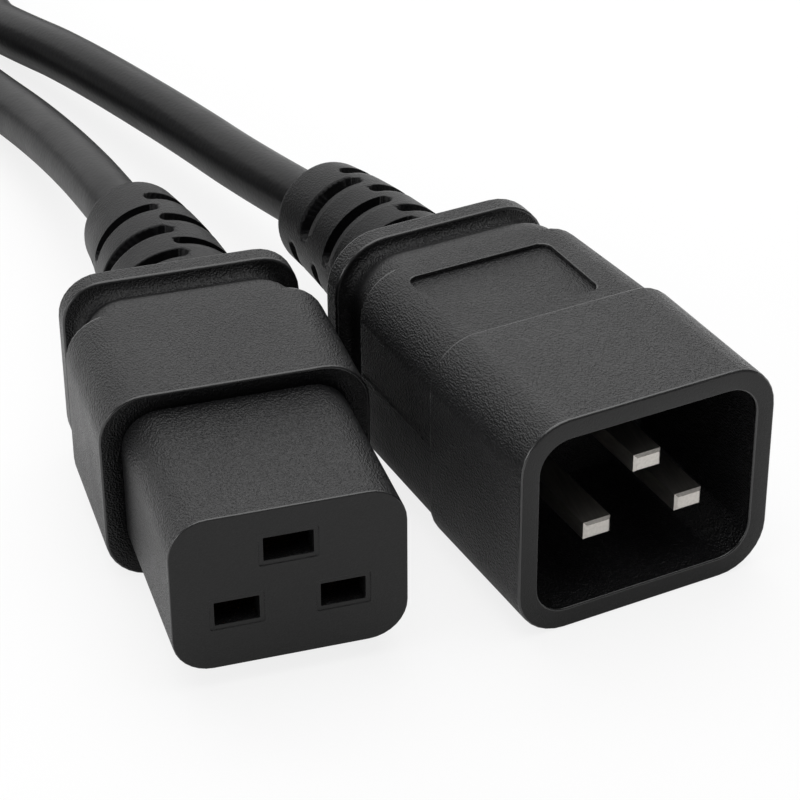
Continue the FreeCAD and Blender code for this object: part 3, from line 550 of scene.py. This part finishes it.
# moulded plastic: a spark-eroded tool leaves a field of tiny rounded bumps, so the skin sparkles
# dully under a lamp and turns dead black away from it; leaving the tool draws the bumps out a
# little along the piece. grain is their spacing and height their depth in mm, the depth drawn
# greater than real so that the sparkle carries; a painted sparkle and painted shade make the base
# colour lighter on the tops of the bumps and darker in the pits between them, by the share given
# for each plastic; cloud is the size in mm of the faint patches in tone and gloss
def plastic(name, look):
    material, tree, shader = startMaterial(name)
    shader.inputs["IOR"].default_value = look["ior"]
    shader.inputs["Specular IOR Level"].default_value = look["specular"]
    coords = addNode(material, "ShaderNodeTexCoord").outputs["Object"]
    drawn = addNode(material, "ShaderNodeMapping", None, {
        "Vector": coords, "Scale": (1, look["draw"], 1)})
    bumps = addNode(material, "ShaderNodeTexNoise", None, {
        "Vector": drawn.outputs[0], "Scale": 1 / (look["grain"] * mm), "Detail": 2,
        "Roughness": 0.6})
    pits = addNode(material, "ShaderNodeTexVoronoi", {"feature": "SMOOTH_F1"}, {
        "Vector": drawn.outputs[0], "Scale": 0.7 / (look["grain"] * mm), "Smoothness": 0.5})
    height = addNode(material, "ShaderNodeMath", {"operation": "MULTIPLY_ADD"}, {
        0: bumps.outputs["Fac"], 1: 0.8, 2: pits.outputs["Distance"]})
    relief = addNode(material, "ShaderNodeBump", None, {
        "Height": height.outputs[0], "Strength": 1.0, "Distance": look["height"] * mm})
    tree.links.new(relief.outputs["Normal"], shader.inputs["Normal"])
    cloud = addNode(material, "ShaderNodeTexNoise", None, {
        "Vector": coords, "Scale": 1 / (look["cloud"] * mm), "Detail": 4, "Roughness": 0.55})
    tone = addNode(material, "ShaderNodeMix", {"data_type": "RGBA"}, {
        0: cloud.outputs["Fac"], 6: fromHex(look["dark"]), 7: fromHex(look["light"])})
    # painted sparkle and painted shade: the base colour is painted lighter on the tops of the bumps
    # and darker in the pits between them, where light and shade would fall
    sparkleShade = addNode(material, "ShaderNodeMapRange", None, {
        "Value": height.outputs[0], "From Min": 0.35, "From Max": 1.15,
        "To Min": 1 - look["paintedSparkle"], "To Max": 1 + look["paintedSparkle"]})
    coloured = addNode(material, "ShaderNodeMix", {"data_type": "RGBA", "blend_type": "MULTIPLY"}, {
        0: 1.0, 6: tone.outputs[2], 7: sparkleShade.outputs[0]})
    tree.links.new(coloured.outputs[2], shader.inputs["Base Color"])
    gloss = addNode(material, "ShaderNodeMapRange", None, {
        "Value": cloud.outputs["Fac"], "From Min": 0.3, "From Max": 0.7,
        "To Min": look["rough"] - 0.04, "To Max": look["rough"] + 0.04})
    tree.links.new(gloss.outputs[0], shader.inputs["Roughness"])
    return material


# glass-filled nylon off a spark-eroded tool, about 0.15 mm between bumps: dry, dark and gritty
sparkedNylon = plastic("sparkedNylon", {
    "ior": 1.53, "specular": 0.3, "dark": "#0b0b0c", "light": "#121213", "rough": 0.35,
    "grain": 0.16, "draw": 0.6, "height": 0.16, "cloud": 9, "paintedSparkle": 0.8})
# the same nylon where the tool was stoned smooth, as on the slotted face and the hood's rim
stonedNylon = plastic("stonedNylon", {
    "ior": 1.53, "specular": 0.28, "dark": "#0e0e0e", "light": "#131313", "rough": 0.4,
    "grain": 0.15, "draw": 0.6, "height": 0.02, "cloud": 12, "paintedSparkle": 0.5})
# soft PVC overmould, coarser spark-eroded grain: the bumps are rounder and a little oilier
grainedPvc = plastic("grainedPvc", {
    "ior": 1.54, "specular": 0.25, "dark": "#0a0a0b", "light": "#111112", "rough": 0.38,
    "grain": 0.17, "draw": 0.6, "height": 0.15, "cloud": 8, "paintedSparkle": 0.7})
# soft PVC of the strain reliefs, from a smoother part of the tool: satin with a faint haze
satinPvc = plastic("satinPvc", {
    "ior": 1.54, "specular": 0.12, "dark": "#0a0a0b", "light": "#101011", "rough": 0.4,
    "grain": 0.18, "draw": 0.6, "height": 0.045, "cloud": 6, "paintedSparkle": 0.5})
# the same two plastics along their edges, where the tool's steel meets in a clean line and hands
# have rubbed the grain flat: each edge draws a thin line of light
rubbedNylon = plastic("rubbedNylon", {
    "ior": 1.53, "specular": 0.7, "dark": "#0e0e0f", "light": "#141415", "rough": 0.26,
    "grain": 0.2, "draw": 1, "height": 0.01, "cloud": 7, "paintedSparkle": 0.2})
rubbedPvc = plastic("rubbedPvc", {
    "ior": 1.54, "specular": 0.6, "dark": "#0d0d0e", "light": "#131314", "rough": 0.28,
    "grain": 0.2, "draw": 1, "height": 0.01, "cloud": 7, "paintedSparkle": 0.2})
# extruded PVC jacket: satin, with faint waves from the die
extrudedPvc = plastic("extrudedPvc", {
    "ior": 1.54, "specular": 0.15, "dark": "#0b0b0c", "light": "#101011", "rough": 0.36,
    "grain": 0.5, "draw": 1, "height": 0.02, "cloud": 7, "paintedSparkle": 0.15})
# polypropylene blocks inside the mouldings: plain dull black
innerPolypropylene = plastic("innerPolypropylene", {
    "ior": 1.49, "specular": 0.5, "dark": "#202020", "light": "#292929", "rough": 0.55,
    "grain": 0.4, "draw": 1, "height": 0.01, "cloud": 5, "paintedSparkle": 0.2})


# pressed and drawn metal: fine lines along the blade blur the reflection one way; lines is the
# space between them in mm and turn the way that they run
def metal(name, look):
    material, tree, shader = startMaterial(name)
    shader.inputs["Metallic"].default_value = 1.0
    coords = addNode(material, "ShaderNodeTexCoord").outputs["Object"]
    drawn = addNode(material, "ShaderNodeMapping", None, {
        "Vector": coords, "Rotation": (0, 0, math.radians(look["turn"])), "Scale": (1, 0.06, 1)})
    lines = addNode(material, "ShaderNodeTexNoise", None, {
        "Vector": drawn.outputs[0], "Scale": 1 / (look["lines"] * mm), "Detail": 3})
    tone = addNode(material, "ShaderNodeMix", {"data_type": "RGBA"}, {
        0: lines.outputs["Fac"], 6: fromHex(look["dark"]), 7: fromHex(look["light"])})
    tree.links.new(tone.outputs[2], shader.inputs["Base Color"])
    rough = addNode(material, "ShaderNodeMapRange", None, {
        "Value": lines.outputs["Fac"],
        "To Min": look["rough"] - 0.08, "To Max": look["rough"] + 0.08})
    tree.links.new(rough.outputs[0], shader.inputs["Roughness"])
    bump = addNode(material, "ShaderNodeBump", None, {
        "Height": lines.outputs["Fac"], "Strength": 1.0, "Distance": look["height"] * mm})
    tree.links.new(bump.outputs["Normal"], shader.inputs["Normal"])
    return material


# dull nickel plate over stamped brass: pale warm grey
nickelPlate = metal("nickelPlate", {
    "dark": "#a8a49f", "light": "#d2cec8", "rough": 0.36, "lines": 0.35, "height": 0.004,
    "turn": -ends["plug"]["turn"]})
# stamped cartridge brass: yellow, slightly dulled by the press oil
stampedBrass = metal("stampedBrass", {
    "dark": "#b58f4c", "light": "#d3b06a", "rough": 0.34, "lines": 0.4, "height": 0.003, "turn": 0})
# bare annealed copper strand: pinkish and bright
bareCopper = metal("bareCopper", {
    "dark": "#b36b4a", "light": "#d58f6b", "rough": 0.3, "lines": 0.3, "height": 0.02, "turn": 0})


# extruded core insulation: smooth and a little waxy
def coreInsulation(name, dark, light):
    return plastic(name, {
        "ior": 1.54, "specular": 0.5, "dark": dark, "light": light, "rough": 0.38,
        "grain": 0.6, "draw": 1, "height": 0.004, "cloud": 4, "paintedSparkle": 0.1})


brownCore = coreInsulation("brownCore", "#5b3620", "#6a4128")
blueCore = coreInsulation("blueCore", "#1d5fae", "#2a6fc0")
greenCore = coreInsulation("greenCore", "#3c8f3a", "#4ba044")

nodeFinish = {
    "nose_plastic": sparkedNylon, "moulded_pvc": grainedPvc, "shroud_plastic": sparkedNylon,
    "inner_plastic": innerPolypropylene, "cord_jacket": extrudedPvc, "contact_brass": stampedBrass,
    "nickel_plate": nickelPlate, "copper": bareCopper, "brown_insulation": brownCore,
    "blue_insulation": blueCore, "green_insulation": greenCore,
}
slotOf = {part["node"]: part["material_slot"] for part in frame["record"]["subparts"]}
for name, piece in frame["nodes"].items():
    for k in range(len(piece.material_slots)):
        piece.material_slots[k].material = nodeFinish[slotOf[name]]
# slot 1 holds the finish of the rubbed edges, slot 2 that of a smooth front
for piece, finishes in ((cordJacket, (extrudedPvc,)),
                        (connectorGrip, (grainedPvc, rubbedPvc)),
                        (plugHousing, (grainedPvc, rubbedPvc)),
                        (connectorBoot, (satinPvc,)), (plugBoot, (satinPvc,)),
                        (noseInsert, (sparkedNylon, rubbedNylon, stonedNylon)),
                        (plugHood, (sparkedNylon, rubbedNylon, stonedNylon))):
    for finish in finishes:
        piece.data.materials.append(finish)

frontFace = {"slot": 2, "facing": 0.9, "within": 0.2}


# the front face of a nylon piece is the smooth part of its tool
def faceFront(piece, turn):
    front = Vector((math.sin(math.radians(turn)), -math.cos(math.radians(turn)), 0))
    edge = min((v.co.dot(-front) for v in piece.data.vertices))
    reach = edge + frontFace["within"] * mm
    for face in piece.data.polygons:
        if face.normal.dot(front) > frontFace["facing"] and face.center.dot(-front) < reach:
            face.material_index = frontFace["slot"]


faceFront(noseInsert, ends["connector"]["turn"])
faceFront(plugHood, ends["plug"]["turn"])
print("materials made")

# the paper shows most of its own white to the eye and a little of it in reflections, and keeps
# the shadow
stage = {
    "size": 6.0, "floor": "#f3f3f3", "rough": 0.9, "specular": 0.1,
    "white": 0.991, "lift": 0.84, "mirrored": 0.12, "world": 0.2,
}


def makeStage():
    mesh = bpy.data.meshes.new("floor")
    bm = bmesh.new()
    bmesh.ops.create_grid(bm, x_segments=1, y_segments=1, size=stage["size"])
    bm.to_mesh(mesh)
    bm.free()
    floor = bpy.data.objects.new("floor", mesh)
    scene.collection.objects.link(floor)
    paper, tree, shader = startMaterial("whitePaper")
    shader.inputs["Base Color"].default_value = fromHex(stage["floor"])
    shader.inputs["Roughness"].default_value = stage["rough"]
    shader.inputs["Specular IOR Level"].default_value = stage["specular"]
    rays = addNode(paper, "ShaderNodeLightPath")
    bounced = addNode(paper, "ShaderNodeMath", {"operation": "ADD", "use_clamp": True}, {
        0: rays.outputs["Is Glossy Ray"], 1: rays.outputs["Is Transmission Ray"]})
    dimmed = addNode(paper, "ShaderNodeMath", {"operation": "MULTIPLY"}, {
        0: bounced.outputs[0], 1: stage["mirrored"]})
    share = addNode(paper, "ShaderNodeMath", {"operation": "MULTIPLY_ADD", "use_clamp": True}, {
        0: rays.outputs["Is Camera Ray"], 1: stage["lift"], 2: dimmed.outputs[0]})
    glow = addNode(paper, "ShaderNodeEmission", None, {
        "Color": (1, 1, 1, 1), "Strength": stage["white"]})
    mixed = addNode(paper, "ShaderNodeMixShader", None, {
        0: share.outputs[0], 1: shader.outputs[0], 2: glow.outputs[0]})
    tree.links.new(mixed.outputs[0], tree.nodes["Material Output"].inputs["Surface"])
    mesh.materials.append(paper)
    world = bpy.data.worlds.new("studio")
    world.use_nodes = True
    world.node_tree.nodes["Background"].inputs["Color"].default_value = (1, 1, 1, 1)
    world.node_tree.nodes["Background"].inputs["Strength"].default_value = stage["world"]
    scene.world = world


# places and sizes in metres, power in watts: a soft box above, a low one at the left, and the
# large panel behind that the top faces mirror
lamps = {
    "overhead": {"place": (0.1, 0.1, 1.3), "aim": (0.02, 0, 0), "size": (1.6, 1.6), "power": 17},
    "leftSide": {"place": (-1.2, -0.2, 0.4), "aim": (0, 0, 0), "size": (0.9, 0.6), "power": 5},
    "backPanel": {"place": (0.2, 1.5, 1.0), "aim": (0.02, 0, 0), "size": (3.0, 2.0), "power": 24},
}


def makeLamp(name, look):
    data = bpy.data.lights.new(name, "AREA")
    data.shape = "RECTANGLE"
    data.size, data.size_y = look["size"]
    data.energy = look["power"]
    lamp = bpy.data.objects.new(name, data)
    scene.collection.objects.link(lamp)
    lamp.location = look["place"]
    away = Vector(look["aim"]) - Vector(look["place"])
    lamp.rotation_euler = away.to_track_quat("-Z", "Y").to_euler()


makeStage()
for name, look in lamps.items():
    makeLamp(name, look)
scene.view_settings.view_transform = "Standard"
print("stage and lamps made")
